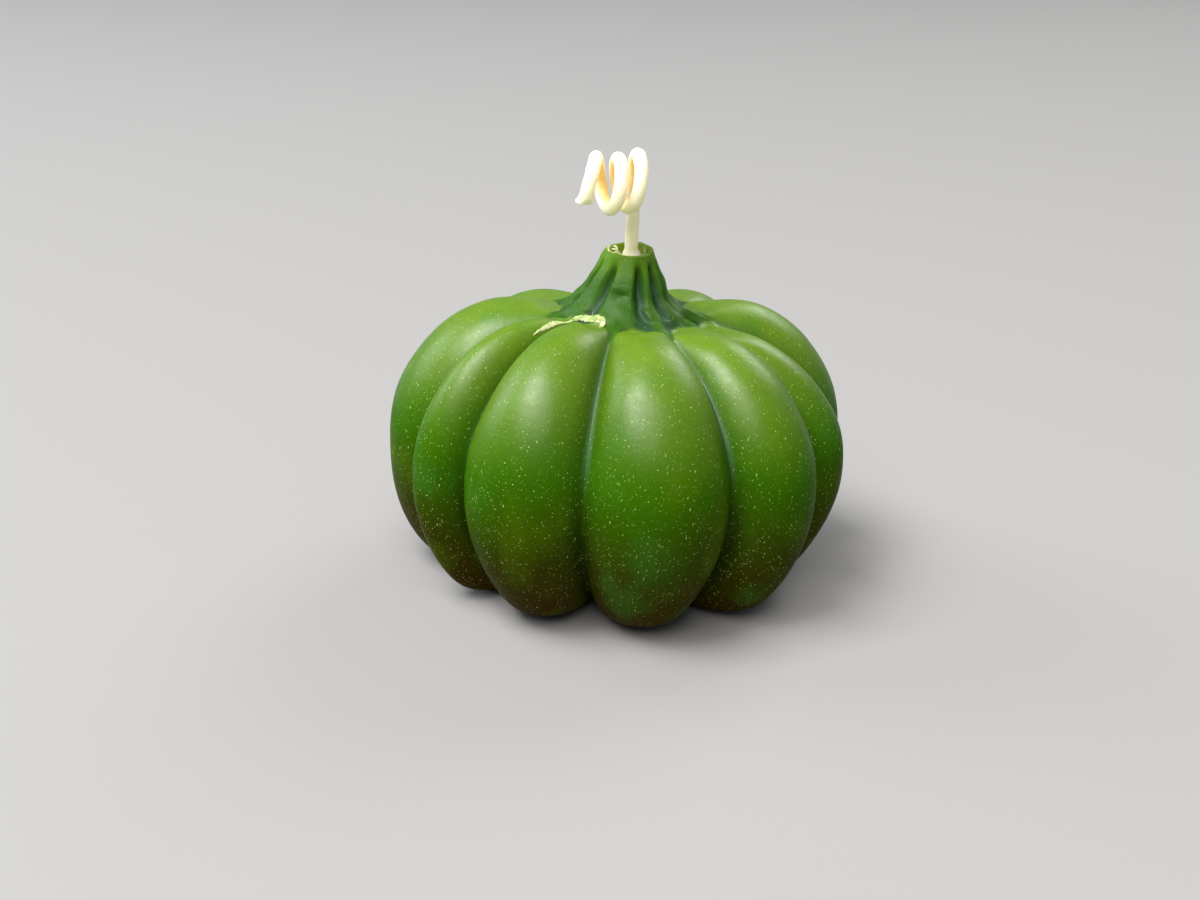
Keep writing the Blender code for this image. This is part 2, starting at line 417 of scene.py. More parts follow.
def casting_point(lobe_index, share, kind, place):
    """The finished point, and how much it is groove, stem, cup and stem colour."""
    side_place = {"side": place, "pour": 0.0}.get(kind, 1.0)
    angle, radius, height, groove, stem, tint = side_point(lobe_index, share, side_place)
    fold, wear = rim_rise(angle)
    cup_radius = CUP_RADIUS + FOLD_THICKENING * fold + wear
    rim_height = RIM_HEIGHT + fold + wear
    lean = min(max((height - LEAN_FROM) / (RIM_HEIGHT - LEAN_FROM), 0.0), 1.0)
    aside = STEM_LEAN * lean
    slant = lean * lean
    cup = 0.0
    if kind == "pour":
        radius = mixed(HOLE_RADIUS, radius, place)
        aside = WICK_ASIDE * (1 - place)
        slant = 0.0
    elif kind == "side":
        height += (fold + wear) * share_between(height, FOLD_FROM, RIM_HEIGHT)
    elif kind == "rim":
        turn = math.pi * place
        middle = (radius + cup_radius) / 2
        radius = middle + (radius - middle) * math.cos(turn)
        height = rim_height + RIM_ROUNDING * math.sin(turn)
        cup = place
    elif kind == "cup":
        radius = mixed(cup_radius, HOLE_RADIUS, place**CUP_NARROWING)
        height = mixed(rim_height, RIM_HEIGHT - CUP_DEPTH, smoothstep(CUP_DROP * place))
        aside = mixed(STEM_LEAN, WICK_ASIDE, place)
        cup = 1.0
    elif kind == "hole":
        radius = HOLE_RADIUS
        height = (RIM_HEIGHT - CUP_DEPTH) * (1 - place)
        aside = WICK_ASIDE
        slant = 0.0
        cup = 1.0
    turn = math.radians(angle)
    point = AXIS + Vector((radius * math.sin(turn) + aside, -radius * math.cos(turn), height))
    point.z -= RIM_SLANT * slant * math.cos(turn)
    return point, groove, stem, cup, tint


def spin_loop(rows, steps):
    """A ring-shaped mesh: a closed loop of one point for each row, spun once round the Z axis."""
    bm = bmesh.new()
    row_of = bm.verts.layers.int.new("row")
    loop = []
    for index in range(len(rows)):
        turn = 2 * math.pi * index / len(rows)
        point = bm.verts.new((2 + math.cos(turn), 0.0, math.sin(turn)))
        point[row_of] = index
        loop.append(point)
    edges = [bm.edges.new((loop[index - 1], loop[index])) for index in range(len(loop))]
    bmesh.ops.spin(
        bm,
        geom=loop + edges,
        cent=(0, 0, 0),
        axis=(0, 0, 1),
        angle=2 * math.pi,
        steps=steps,
        use_merge=True,
    )
    return bm, row_of


def make_casting():
    rows = outline_rows()
    steps = STEPS_PER_LOBE * len(LOBES)
    bm, row_of = spin_loop(rows, steps)
    groove_of = bm.verts.layers.float.new("groove")
    stem_of = bm.verts.layers.float.new("stem")
    cup_of = bm.verts.layers.float.new("cup")
    tint_of = bm.verts.layers.float.new("tint")
    for point in bm.verts:
        turn = math.atan2(point.co.y, point.co.x) / (2 * math.pi)
        lobe_index, share = divmod(round(turn * steps) % steps, STEPS_PER_LOBE)
        kind, place = rows[point[row_of]]
        finished, groove, stem, cup, tint = casting_point(
            lobe_index, share / STEPS_PER_LOBE, kind, place
        )
        point.co, point[groove_of], point[stem_of] = finished, groove, stem
        point[cup_of], point[tint_of] = cup, tint
    if bm.calc_volume(signed=True) < 0:
        bmesh.ops.reverse_faces(bm, faces=bm.faces)
    return bm


casting = make_casting()
print("casting:", len(casting.verts), "points, volume", round(casting.calc_volume() * 1e6, 1), "cm3")

# %% [markdown]
# ## Dents, swellings and the hand of the mould
# A mould taken from a real fruit is never even. Slow noise swells the lobes by a tenth of a
# millimetre or so, and quicker noise roughens the stem. A few single marks are placed one by one.

# %% Uneven surface
SWELL_SIZE = 0.013
SWELL_DEPTH = 0.00016
STEM_GRAIN_SIZE = 0.0022
STEM_GRAIN_DEPTH = 0.00013
FOOT_STAYS_FLAT = 0.004
CUP_INSIDE = 0.9
MARKS = (
    # angle, height, width round, width up, depth (negative stands out)
    (-13.0, 0.0534, 0.0009, 0.00060, -0.00024),
    (-4.0, 0.0523, 0.0010, 0.00045, 0.00034),
    (-12.0, 0.0517, 0.0006, 0.00030, 0.00014),
    (-12.0, 0.0541, 0.0012, 0.00018, 0.00008),
    (-4.0, 0.0500, 0.0020, 0.00080, -0.00025),
    (26.0, 0.0497, 0.0007, 0.00060, -0.00035),
    (23.0, 0.0486, 0.0011, 0.00035, 0.00035),
    (47.0, 0.0488, 0.0010, 0.00035, 0.00020),
    (-85.0, 0.0573, 0.0030, 0.00080, -0.00020),
    (-84.0, 0.0508, 0.0034, 0.00140, -0.00060),
    (96.0, 0.0508, 0.0040, 0.00160, 0.00035),
    (-41.0, 0.0490, 0.0018, 0.00035, 0.00045),
)


def mark_depth(point):
    """How far the listed marks push a point of the stem inwards."""
    flat = Vector((point.x - AXIS.x, point.y - AXIS.y))
    angle = math.degrees(math.atan2(flat.x, -flat.y))
    total = 0.0
    for mark_angle, height, wide, tall, depth in MARKS:
        aside = math.radians(turned_from(angle, mark_angle)) * flat.length
        total += depth * math.exp(-((aside / wide) ** 2) - ((point.z - height) / tall) ** 2)
    return total


def roughen(bm):
    stem_of = bm.verts.layers.float["stem"]
    cup_of = bm.verts.layers.float["cup"]
    bm.normal_update()
    moves = []
    for point in bm.verts:
        resting = smoothstep(point.co.z / FOOT_STAYS_FLAT)
        swell = SWELL_DEPTH * noise.noise(point.co / SWELL_SIZE) * (1 - point[stem_of])
        grain = STEM_GRAIN_DEPTH * noise.noise(point.co / STEM_GRAIN_SIZE) * point[stem_of]
        marked = point[stem_of] > 0 and point[cup_of] < CUP_INSIDE
        inward = mark_depth(point.co) if marked else 0.0
        moves.append(point.normal * (resting * (swell + grain) - inward))
    for point, move in zip(bm.verts, moves):
        point.co += move


roughen(casting)

# %% [markdown]
# ## From bmesh to a finished object
# Every piece ends the same way: its mesh goes to an object at the origin, is shaded smooth and rides
# on the candle's one body.

# %% Finish a piece
def finish_piece(bm, name, material, sharp_angle=60):
    mesh = bpy.data.meshes.new(name)
    bm.to_mesh(mesh)
    bm.free()
    mesh.shade_smooth()
    mesh.set_sharp_from_angle(angle=math.radians(sharp_angle))
    mesh.materials.append(material)
    piece = bpy.data.objects.new(name, mesh)
    bpy.context.scene.collection.objects.link(piece)
    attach(piece, "root")
    print(name, len(mesh.polygons), "faces")
    return piece


# %% [markdown]
# ## Small helpers for materials
# A node material is a chain of small steps. These helpers add a node or two and fill their sockets,
# so that each material below reads as a list of what happens to its colour.

# %% Node helpers
def new_material(name):
    material = bpy.data.materials.new(name)
    material.use_nodes = True
    tree = material.node_tree
    return material, tree, tree.nodes["Principled BSDF"]


def feed(tree, target, value):
    """Links value to a socket if it is a socket, and sets it otherwise."""
    if isinstance(value, bpy.types.NodeSocket):
        tree.links.new(value, target)
    else:
        target.default_value = value


def attribute(tree, name):
    found = tree.nodes.new("ShaderNodeAttribute")
    found.attribute_name = name
    return found.outputs["Fac"]


def object_place(tree, scale=(1, 1, 1), turn=(0, 0, 0)):
    place = tree.nodes.new("ShaderNodeTexCoord")
    mapping = tree.nodes.new("ShaderNodeMapping")
    mapping.inputs["Scale"].default_value = scale
    mapping.inputs["Rotation"].default_value = turn
    tree.links.new(place.outputs["Object"], mapping.inputs["Vector"])
    return mapping.outputs["Vector"]


def noise_value(tree, vector, scale, detail=2.0, rough=0.5):
    made = tree.nodes.new("ShaderNodeTexNoise")
    tree.links.new(vector, made.inputs["Vector"])
    made.inputs["Scale"].default_value = scale
    made.inputs["Detail"].default_value = detail
    made.inputs["Roughness"].default_value = rough
    return made.outputs["Fac"]


def ranged(tree, value, low, high, to_low=0.0, to_high=1.0, smooth=True):
    made = tree.nodes.new("ShaderNodeMapRange")
    made.interpolation_type = "SMOOTHSTEP" if smooth else "LINEAR"
    feed(tree, made.inputs["Value"], value)
    made.inputs["From Min"].default_value = low
    made.inputs["From Max"].default_value = high
    made.inputs["To Min"].default_value = to_low
    made.inputs["To Max"].default_value = to_high
    return made.outputs["Result"]


def combined(tree, first, second, operation="MULTIPLY"):
    made = tree.nodes.new("ShaderNodeMath")
    made.operation = operation
    feed(tree, made.inputs[0], first)
    feed(tree, made.inputs[1], second)
    return made.outputs["Value"]


def colour_mix(tree, share, first, second, blend="MIX"):
    made = tree.nodes.new("ShaderNodeMix")
    made.data_type = "RGBA"
    made.blend_type = blend
    feed(tree, made.inputs["Factor"], share)
    feed(tree, made.inputs["A"], first)
    feed(tree, made.inputs["B"], second)
    return made.outputs["Result"]


def bump(tree, height, distance, strength=1.0, under=None):
    made = tree.nodes.new("ShaderNodeBump")
    made.inputs["Distance"].default_value = distance
    made.inputs["Strength"].default_value = strength
    tree.links.new(height, made.inputs["Height"])
    if under is not None:
        tree.links.new(under, made.inputs["Normal"])
    return made.outputs["Normal"]


def height_of_point(tree):
    place = tree.nodes.new("ShaderNodeTexCoord")
    split = tree.nodes.new("ShaderNodeSeparateXYZ")
    tree.links.new(place.outputs["Object"], split.inputs["Vector"])
    return split.outputs["Z"]


# %% [markdown]
# ## Pale specks and fine scratches
# The wax is full of pale specks a fifth of a millimetre across, thickest on the lower half. A
# Voronoi pattern gives each cell of space one point. Where the surface passes close to that point
# it cuts a small round speck, and the cell's random colour decides which cells stay plain. A hair
# scratch is the line where slow noise crosses its middle value, kept only here and there.

# %% Specks and hairs
FAINTEST_SPECK = 0.35


def speck_mask(tree, vector, cells_per_metre, radius, share):
    """Up to 1 inside a speck. radius is in cells, and share is how many cells hold one, from 0 to 1."""
    cells = tree.nodes.new("ShaderNodeTexVoronoi")
    cells.inputs["Scale"].default_value = cells_per_metre
    tree.links.new(vector, cells.inputs["Vector"])
    inside = ranged(tree, cells.outputs["Distance"], radius, radius * 0.5)
    split = tree.nodes.new("ShaderNodeSeparateColor")
    tree.links.new(cells.outputs["Color"], split.inputs["Color"])
    chosen = combined(tree, split.outputs["Red"], share, "LESS_THAN")
    strength = ranged(tree, split.outputs["Green"], 0.0, 1.0, FAINTEST_SPECK, 1.0, False)
    return combined(tree, combined(tree, inside, chosen), strength)


def hair_mask(tree, vector, scale, width, share):
    """1 along thin curved lines; share is how much of them shows, from 0 to 1."""
    value = noise_value(tree, vector, scale, 1.0)
    away = combined(tree, combined(tree, value, 0.5, "SUBTRACT"), 0.0, "ABSOLUTE")
    line = ranged(tree, away, width, width * 0.3)
    choice = noise_value(tree, vector, scale * 2.6, 0.0)
    kept = ranged(tree, choice, 0.66 - 0.4 * share, 0.78 - 0.4 * share)
    return combined(tree, line, kept)


# %% [markdown]
# ## Colours of the green wax
# The colour runs from olive at the foot over leaf green to yellow green on the crowns, and has cloudy
# patches. The darker olive low down is painted shade, with a painted warm light bounced up from below.
# The grooves carry painted shade, darkest along their bottom low down, and higher up a pale bluish
# painted reflection runs along their bottom. The attributes written while turning the casting say
# where a point is.

# %% Colour of the lobes
# The two lowest colours are painted shade, and their olive is a painted warm light bounced up from below.
FOOT_SHADE_OLIVE = (0.032, 0.0185, 0.0006, 1.0)
LOW_SHADE_GREEN = (0.029, 0.034, 0.0005, 1.0)
LEAF_GREEN = (0.023, 0.092, 0.0006, 1.0)
CROWN_GREEN = (0.094, 0.182, 0.0030, 1.0)
CLOUD_GREEN = (0.031, 0.138, 0.0115, 1.0)
CLOUD_OLIVE = (0.069, 0.123, 0.0008, 1.0)
# Painted shade in the grooves: a darker green beside them, and a darker bottom low down.
GROOVE_SHADE_GREEN = (0.018, 0.073, 0.0023, 1.0)
# A pale bluish painted reflection along the bottom of the grooves higher up.
GROOVE_REFLECTION = (0.077, 0.154, 0.0750, 1.0)
GROOVE_BOTTOM_SHADE = (0.012, 0.014, 0.0006, 1.0)
FOOT_TO_DEEP = (0.000, 0.017)
DEEP_TO_LEAF = (0.012, 0.032)
LEAF_TO_CROWN = (0.026, 0.050)
BOTTOM_SHADE_FADES = (0.032, 0.014)
GROOVE_REFLECTION_STARTS = (0.026, 0.036)
NEAR_GROOVE = (0.45, 1.0)
IN_GROOVE = (0.55, 0.95)
ON_GROOVE_FLOOR = (0.86, 0.98)
DRIFT_OF_LEVELS = 0.004
DRIFT_SCALE = 60.0
CLOUD_SCALE = 95.0
CLOUD_STRENGTH = 0.40


def lobe_colour_and_light(tree, place, height, groove):
    drift = noise_value(tree, place, DRIFT_SCALE, 3.0)
    drift = ranged(tree, drift, 0.2, 0.8, -DRIFT_OF_LEVELS, DRIFT_OF_LEVELS, False)
    level = combined(tree, height, drift, "ADD")
    # painted shade: darker and more olive towards the foot
    colour = colour_mix(tree, ranged(tree, level, *FOOT_TO_DEEP), FOOT_SHADE_OLIVE, LOW_SHADE_GREEN)
    colour = colour_mix(tree, ranged(tree, level, *DEEP_TO_LEAF), colour, LEAF_GREEN)
    colour = colour_mix(tree, ranged(tree, level, *LEAF_TO_CROWN), colour, CROWN_GREEN)
    cloud = noise_value(tree, object_place(tree, (1.0, 1.0, 0.6)), CLOUD_SCALE, 2.0)
    fresh = ranged(tree, cloud, 0.52, 0.75, 0.0, CLOUD_STRENGTH)
    colour = colour_mix(tree, fresh, colour, CLOUD_GREEN)
    stale = ranged(tree, cloud, 0.46, 0.25, 0.0, CLOUD_STRENGTH)
    colour = colour_mix(tree, stale, colour, CLOUD_OLIVE)
    # painted shade: darker near the grooves, and darkest along their bottom low down
    colour = colour_mix(tree, ranged(tree, groove, *NEAR_GROOVE, 0.0, 0.45), colour, GROOVE_SHADE_GREEN)
    shaded_bottom = combined(tree, ranged(tree, groove, *IN_GROOVE), ranged(tree, height, *BOTTOM_SHADE_FADES))
    colour = colour_mix(tree, combined(tree, shaded_bottom, 0.75), colour, GROOVE_BOTTOM_SHADE)
    # painted reflection: a pale bluish stripe along the bottom of each groove higher up
    reflection_stripe = combined(tree, ranged(tree, groove, *ON_GROOVE_FLOOR), ranged(tree, height, *GROOVE_REFLECTION_STARTS))
    return colour_mix(tree, combined(tree, reflection_stripe, 0.55), colour, GROOVE_REFLECTION)


# %% [markdown]
# The stem is darker than the lobes, and towards its rim it is painted lighter and yellower, as painted
# light from above. Its hollows are darker still with painted shade, with a slate-blue painted
# reflection low down, and the cup is olive.

# %% Colour of the stem
STEM_GREEN = (0.026, 0.090, 0.0035, 1.0)
# A lighter yellow green towards the rim is painted light from above.
STEM_TOP_LIGHT = (0.085, 0.190, 0.0050, 1.0)
# The hollows' darker green is painted shade.
HOLLOW_SHADE = (0.010, 0.044, 0.0006, 1.0)
# A slate-blue painted reflection on the lower hollows.
HOLLOW_REFLECTION = (0.023, 0.064, 0.0300, 1.0)
CUP_OLIVE = (0.130, 0.185, 0.0060, 1.0)
STEM_TOP_LIGHT_STARTS = (0.0535, 0.0575)
HOLLOW_REFLECTION_FADES = (0.0550, 0.0520)
INTO_HOLLOW = (0.75, 0.20)


def stem_colour_and_light(tree, colour, height, groove, tint):
    colour = colour_mix(tree, combined(tree, tint, 0.95), colour, STEM_GREEN)
    # painted light: lighter and yellower towards the rim
    upper = combined(tree, ranged(tree, height, *STEM_TOP_LIGHT_STARTS), tint)
    colour = colour_mix(tree, combined(tree, upper, 0.75), colour, STEM_TOP_LIGHT)
    cup = combined(tree, attribute(tree, "cup"), 0.9)
    colour = colour_mix(tree, cup, colour, CUP_OLIVE)
    pressed = combined(tree, ranged(tree, groove, *INTO_HOLLOW), tint)
    hollow_bottom_reflection = combined(tree, pressed, ranged(tree, height, *HOLLOW_REFLECTION_FADES))
    # painted shade in the hollows
    colour = colour_mix(tree, combined(tree, pressed, 0.75), colour, HOLLOW_SHADE)
    # painted reflection: slate blue low down in the hollows
    return colour_mix(tree, combined(tree, hollow_bottom_reflection, 0.70), colour, HOLLOW_REFLECTION)


# %% [markdown]
# ## Green wax
# Specks of three kinds and a few hairs are laid over the colour. A little light passes through the
# wax. Its gloss is soft on the crowns and weaker on the stem, and the lower half has hardly any.

# %% Green wax
SPECK_PALE = (0.42, 0.55, 0.16, 1.0)
SPECKS_ON_STEM = 0.30
SPECKS_THIN_OUT = (0.012, 0.046)
# cells in a metre, and the radius of a speck in cells
ROUND_SPECKS = (1500.0, 0.175)
SMALL_SPECKS = (2000.0, 0.19)
DASHES = (950.0, 0.13)
HAIR_STRENGTH = 0.10
GLOSS_STARTS = (0.028, 0.044)
GLOSS_ON_FOOT = 0.01
GLOSS_ON_CROWN = 0.38
STEM_GLOSS = 0.34


def speck_marks(tree, place, height, tint):
    """Where specks show: round ones, smaller ones and short dashes, and few of any on the stem."""
    lower = ranged(tree, height, *SPECKS_THIN_OUT, 1.0, 0.55)
    specks = speck_mask(tree, place, *ROUND_SPECKS, lower)
    small = speck_mask(tree, object_place(tree, (1, 1, 1), (0.4, 0.2, 0.9)), *SMALL_SPECKS, 0.7)
    dashes = speck_mask(tree, object_place(tree, (1.0, 0.8, 0.4), (0.5, 0.3, 0.7)), *DASHES, 0.5)
    marks = combined(tree, specks, combined(tree, dashes, 0.7), "MAXIMUM")
    marks = combined(tree, marks, combined(tree, small, 0.5), "MAXIMUM")
    return combined(tree, marks, ranged(tree, tint, 0.0, 1.0, 0.9, SPECKS_ON_STEM))


def make_green_wax():
    material, tree, shader = new_material("green_wax")
    place = object_place(tree)
    height = height_of_point(tree)
    groove = attribute(tree, "groove")
    tint = attribute(tree, "tint")
    colour = lobe_colour_and_light(tree, place, height, groove)
    colour = stem_colour_and_light(tree, colour, height, groove, tint)
    colour = colour_mix(tree, speck_marks(tree, place, height, tint), colour, SPECK_PALE)
    hairs = hair_mask(tree, place, 420.0, 0.010, 0.22)
    hairs = combined(tree, hairs, ranged(tree, tint, 1.0, 0.0))
    colour = colour_mix(tree, combined(tree, hairs, HAIR_STRENGTH), colour, SPECK_PALE)
    feed(tree, shader.inputs["Base Color"], colour)
    streaks = noise_value(tree, object_place(tree, (1, 1, 0.35)), 800.0, 4.0, 0.7)
    rough = ranged(tree, streaks, 0.25, 0.75, 0.33, 0.44)
    feed(tree, shader.inputs["Roughness"], combined(tree, rough, combined(tree, tint, 0.06), "ADD"))
    soft = bump(tree, noise_value(tree, place, 240.0, 3.0), 0.00014, 0.5)
    fine = bump(tree, streaks, 0.00006, 0.7, soft)
    feed(tree, shader.inputs["Normal"], bump(tree, hairs, 0.00003, 0.7, fine))
    shader.inputs["Subsurface Weight"].default_value = 0.32
    shader.inputs["Subsurface Radius"].default_value = (0.5, 1.0, 0.12)
    shader.inputs["Subsurface Scale"].default_value = 0.0018
    gloss = ranged(tree, height, *GLOSS_STARTS, GLOSS_ON_FOOT, GLOSS_ON_CROWN)
    gloss = combined(tree, gloss, ranged(tree, tint, 0.0, 1.0, 1.0, STEM_GLOSS))
    feed(tree, shader.inputs["Specular IOR Level"], gloss)
    return material


green_wax = make_green_wax()

# %% [markdown]
# The torn wax and the scrapings below have to lie on the casting, so a search tree of its surface
# is kept before the mesh is handed over.

# %% Keep a search tree and finish the casting
skin = BVHTree.FromBMesh(casting)


def on_skin(angle, radius, height):
    """The nearest point of the casting to a place given round its axis, and the way out of it there."""
    turn = math.radians(angle)
    guess = AXIS + Vector((radius * math.sin(turn), -radius * math.cos(turn), height))
    point, normal, _, _ = skin.find_nearest(guess)
    return point, normal


body = finish_piece(casting, "candle_casting", green_wax)
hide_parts("wax_body")

# %% [markdown]
# ## The wick's route
# The wick stands straight up behind its own curl, then winds to the left in a loose horizontal coil
# of a little over two and a half turns. A helix gives that, with a radius that differs from turn to
# turn because it was wound by hand.

# %% Route of the wick
WICK_FOOT = 0.0006
WICK_TOP = 0.0710
COIL_TURNS = 2.62
COIL_HEADING = math.radians(17)
COIL_QUARTERS = (
    # how far the coil has wound along, and its radius, from a quarter turn before its start
    (-0.00088, 0.0041),
    (0.00000, 0.0042),
    (0.00088, 0.0043),
    (0.00175, 0.00425),
    (0.00260, 0.0041),
    (0.00336, 0.0039),
    (0.00420, 0.0037),
    (0.00490, 0.00395),
    (0.00560, 0.0043),
    (0.00615, 0.0042),
    (0.00815, 0.0039),
    (0.01015, 0.0033),
    (0.01040, 0.0040),
)
COIL_STEPS = 320
STRAIGHT_STEP = 0.0004


def coil_at(turns):
    """How far along its own axis the coil is after some turns, and its radius there."""
    return along(COIL_QUARTERS, 4 * (turns + 0.25) / (len(COIL_QUARTERS) - 1))


def wick_route():
    """Points up the middle and round the curl, each with the direction to the curl's own axis."""
    base = AXIS + Vector((WICK_ASIDE, 0, 0))
    heading = Vector((-math.cos(COIL_HEADING), -math.sin(COIL_HEADING), 0))
    front = Vector((math.sin(COIL_HEADING), -math.cos(COIL_HEADING), 0))
    up = Vector((0, 0, 1))
    steps = round((WICK_TOP - WICK_FOOT) / STRAIGHT_STEP)
    points = [base + up * mixed(WICK_FOOT, WICK_TOP, step / steps) for step in range(steps)]
    inwards = [front.copy() for step in range(steps)]
    for step in range(COIL_STEPS + 1):
        turns = COIL_TURNS * step / COIL_STEPS
        advance, radius = coil_at(turns)
        swing = 2 * math.pi * turns
        centre = base + up * WICK_TOP + heading * advance + front * coil_at(0.0)[1]
        outward = -front * math.cos(swing) + up * math.sin(swing)
        points.append(centre + outward * radius)
        inwards.append(-outward)
    return points, inwards


route, inwards = wick_route()
length = sum((b - a).length for a, b in zip(route, route[1:]))
print("wick length", round(length * 1000, 1), "mm")

# %% [markdown]
# ## Sweeping a ring along a route
# The wick, the torn edge of wax and the scrapings on the rim are all long thin things. Each is one
# ring of points extruded from place to place along its route. Where a piece brings no frames of its
# own, the ring is carried without twist: at each step it turns only as far as the route does.

# %% Sweep
def carried_frames(points):
    """For each point of a route: its direction and two directions across it, carried without twist."""
    frames = []
    across = None
    for index, point in enumerate(points):
        ahead = points[min(index + 1, len(points) - 1)] - points[max(index - 1, 0)]
        ahead.normalize()
        if across is None:
            across = ahead.orthogonal().normalized()
        else:
            across = (across - ahead * across.dot(ahead)).normalized()
        frames.append((ahead, across, ahead.cross(across)))
    return frames


def sweep(bm, points, sides, ring_offset, frames=None):
    """Adds a closed tube. ring_offset(index, turn, frame) gives a ring point's place off the route."""
    frames = frames or carried_frames(points)
    step_of = bm.verts.layers.int.get("step") or bm.verts.layers.int.new("step")
    made = bmesh.ops.create_circle(bm, cap_ends=True, segments=sides, radius=1.0)
    ring = made["verts"]
    turns = [2 * math.pi * index / sides for index in range(sides)]
    edges = list({edge for corner in ring for edge in corner.link_edges})
    for index, point in enumerate(points):
        if index > 0:
            extruded = bmesh.ops.extrude_edge_only(bm, edges=edges)["geom"]
            edges = [item for item in extruded if isinstance(item, bmesh.types.BMEdge)]
            loose = {item for item in extruded if isinstance(item, bmesh.types.BMVert)}
            ring = [
                next(edge.other_vert(old) for edge in old.link_edges if edge.other_vert(old) in loose)
                for old in ring
            ]
            edges = [edge for edge in edges if edge.verts[0] in loose and edge.verts[1] in loose]
        for turn, corner in zip(turns, ring):
            corner.co = point + ring_offset(index, turn, frames[index])
            corner[step_of] = index
    bmesh.ops.contextual_create(bm, geom=edges)
    bmesh.ops.recalc_face_normals(bm, faces=bm.faces)


# %% [markdown]
# ## The waxed wick
# The wick was dipped, so it is smooth, a little lumpy, and thicker where wax ran together: at its
# foot in the cup, where it spreads into a small skirt with beads, and at its cut end, which was
# pinched and flares out to both sides.

# %% Wick
WICK_SIDES = 40
WICK_LUMP = 0.00005
LUMP_SIZE = 0.0016
BEAD_RISE = 0.00022
BEAD_SIZE = 0.0007
BEAD_SPARSITY = 0.32
END_FLARE = (0.22, 0.48)
END_PINCH = 0.25
END_LENGTH = 0.0005
CUP_FLOOR = RIM_HEIGHT - CUP_DEPTH
SKIRT_HEIGHT = 0.0573
SKIRT_SWELL = 0.30
SKIRT_LENGTH = 0.0007
SKIRT_TO_RIGHT = 0.6
SKIRT_STARTS_OVER = 0.0003
FOOT_BEADS = (
    # angle, height, rise as a share of the wick's radius
    (-70.0, 0.0579, 0.30),
    (80.0, 0.0580, 0.30),
    (28.0, 0.0577, 0.18),
)
FOOT_BEAD_SIZE = 0.00035
FOOT_BEAD_WIDTH = 0.12
BELOW_COIL = WICK_TOP - 0.008
HEADING = Vector((-math.cos(COIL_HEADING), -math.sin(COIL_HEADING), 0))

to_end = [0.0]
for later, earlier in zip(reversed(route), reversed(route[:-1])):
    to_end.insert(0, to_end[0] + (later - earlier).length)


def foot_bead(point, outward):
    """How much the beads at the wick's foot swell it at a place on its skin."""
    swell = 0.0
    for bead_angle, bead_height, rise in FOOT_BEADS:
        side = math.radians(bead_angle)
        facing = outward.x * math.sin(side) - outward.y * math.cos(side)
        away = ((point.z - bead_height) / FOOT_BEAD_SIZE) ** 2 + ((1 - facing) / FOOT_BEAD_WIDTH) ** 2
        swell += rise * math.exp(-away)
    return swell


def wick_offset(index, turn, directions):
    _, across, aside = directions
    point = route[index]
    outward = across * math.cos(turn) + aside * math.sin(turn)
    near_end = math.exp(-to_end[index] / END_LENGTH)
    wide = outward.dot(HEADING)
    flare = END_FLARE[1] if wide > 0 else END_FLARE[0]
    swell = near_end * (flare * wide**2 - END_PINCH * (1 - wide**2))
    skirt = SKIRT_SWELL * math.exp(-(((point.z - SKIRT_HEIGHT) / SKIRT_LENGTH) ** 2))
    skirt *= smoothstep((point.z - CUP_FLOOR) / SKIRT_STARTS_OVER)
    swell += skirt * (1 + SKIRT_TO_RIGHT * outward.x)
    lump = WICK_LUMP * noise.noise((point + outward * WICK_RADIUS) / LUMP_SIZE)
    bead = BEAD_RISE * max(noise.noise((point + outward * WICK_RADIUS) / BEAD_SIZE) - BEAD_SPARSITY, 0.0)
    if point.z < BELOW_COIL:
        swell += foot_bead(point, outward)
    return outward * (WICK_RADIUS * (1 + swell) + lump + bead)


CURL_GLOW_FROM = 0.064
CURL_GLOW_OVER = 0.004
UNDERSIDE_GLOW = 0.45


def make_wick():
    bm = bmesh.new()
    sweep(bm, route, WICK_SIDES, wick_offset)
    inner_of = bm.verts.layers.float.new("inner")
    step_of = bm.verts.layers.int["step"]
    for corner in bm.verts:
        index = corner[step_of]
        outward = (corner.co - route[index]).normalized()
        curled = smoothstep((route[index].z - CURL_GLOW_FROM) / CURL_GLOW_OVER)
        # the share of painted bounce light: inner sides of the curl and its undersides
        corner[inner_of] = max(outward.dot(inwards[index]), -UNDERSIDE_GLOW * outward.z, 0.0) * curled
    return bm


# %% [markdown]
# ## Wick wax
# The dip is cream wax with a lot of light inside it. Between the turns, where light bounces from
# strand to strand, and underneath, that light is painted into the colour as a deeper yellow, which
# the inner attribute marks.

# %% Wick wax
WICK_CREAM = (1.00, 0.87, 0.64, 1.0)
WICK_AMBER = (1.00, 0.62, 0.20, 1.0)
BURNT_SPECK = (0.20, 0.09, 0.03, 1.0)


def make_wick_wax():
    material, tree, shader = new_material("wick_wax")
    place = object_place(tree)
    cloudy = noise_value(tree, place, 420.0, 3.0)
    # painted light: deeper yellow between the turns and underneath
    inner = ranged(tree, attribute(tree, "inner"), 0.20, 0.95, 0.0, 0.80)
    colour = colour_mix(tree, inner, WICK_CREAM, WICK_AMBER)
    colour = colour_mix(tree, ranged(tree, cloudy, 0.45, 0.8, 0.0, 0.18), colour, WICK_AMBER)
    dots = speck_mask(tree, place, 700.0, 0.13, 0.10)
    colour = colour_mix(tree, combined(tree, dots, 0.6), colour, BURNT_SPECK)
    feed(tree, shader.inputs["Base Color"], colour)
    feed(tree, shader.inputs["Roughness"], ranged(tree, cloudy, 0.3, 0.7, 0.36, 0.50))
    feed(tree, shader.inputs["Normal"], bump(tree, noise_value(tree, place, 1500.0, 2.0), 0.00004, 0.4))
    shader.inputs["Subsurface Weight"].default_value = 0.85
    shader.inputs["Subsurface Radius"].default_value = (1.0, 0.75, 0.40)
    shader.inputs["Subsurface Scale"].default_value = 0.0032
    return material


